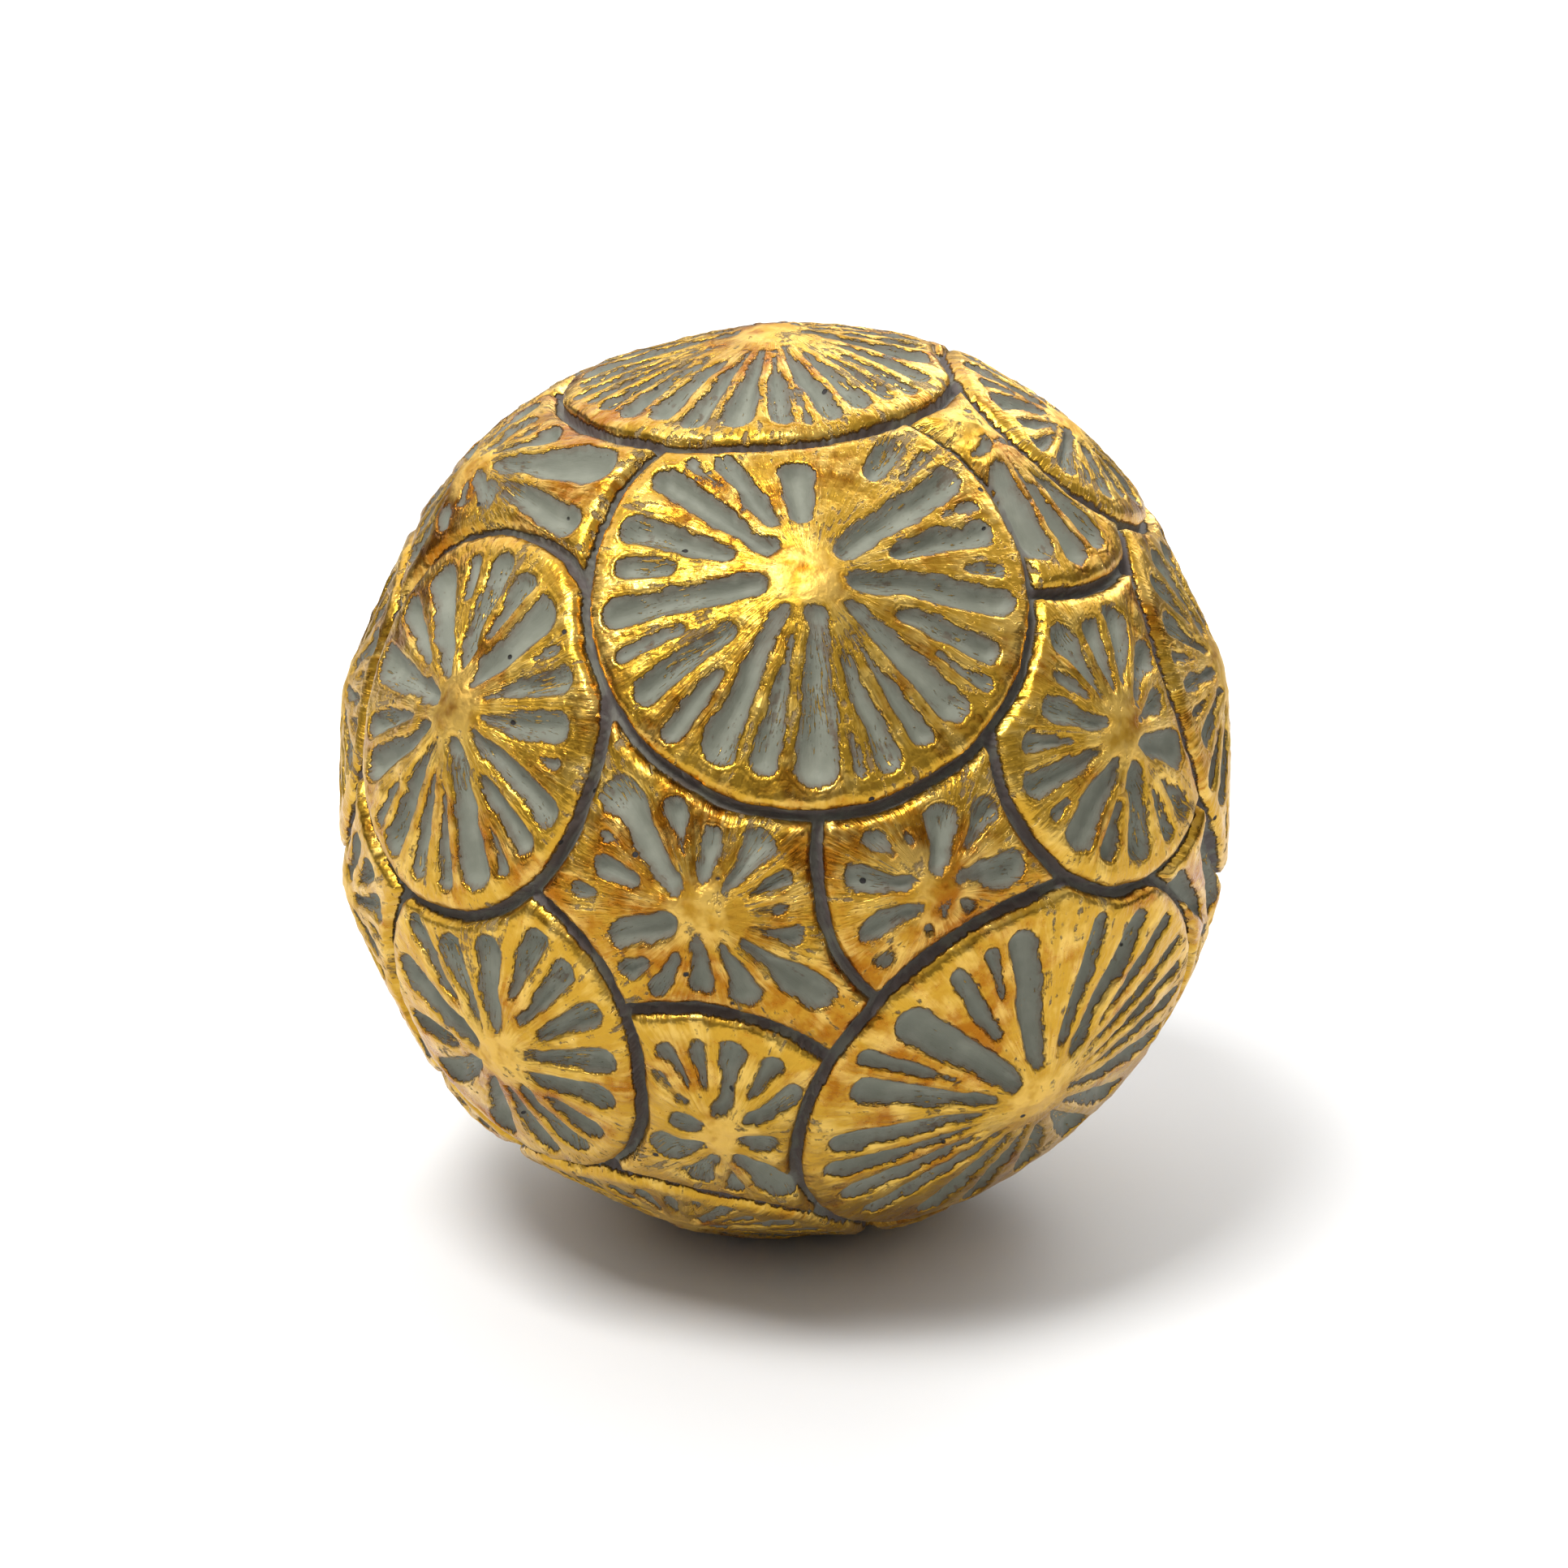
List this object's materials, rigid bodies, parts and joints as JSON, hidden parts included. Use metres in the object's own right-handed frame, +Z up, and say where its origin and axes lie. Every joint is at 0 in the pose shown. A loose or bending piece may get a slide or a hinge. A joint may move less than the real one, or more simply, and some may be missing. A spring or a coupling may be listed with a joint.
{
  "type": "decorative sphere",
  "caption": "Cast ornamental ball with overlapping limpet-like shells in relief, gilded over matt grey-green, with dark sunk channels between the shells.",
  "frame": {"origin": "centre of the small flat spot on the underside that the ball stands on", "axes": "+Z up, -Y towards the front, where the largest round shell is in the middle of the upper half; +X to the right seen from the front"},
  "size_m": [0.0988, 0.1012, 0.103],
  "materials": {
    "gilded_cast": "mineral-filled cast resin painted matt grey-green, with dry-brushed gold leaf on the raised parts and a dark grey-brown wash in the channels"
  },
  "bodies": {
    "root": {"carved_ball": "gilded_cast"}
  },
  "joints": []
}
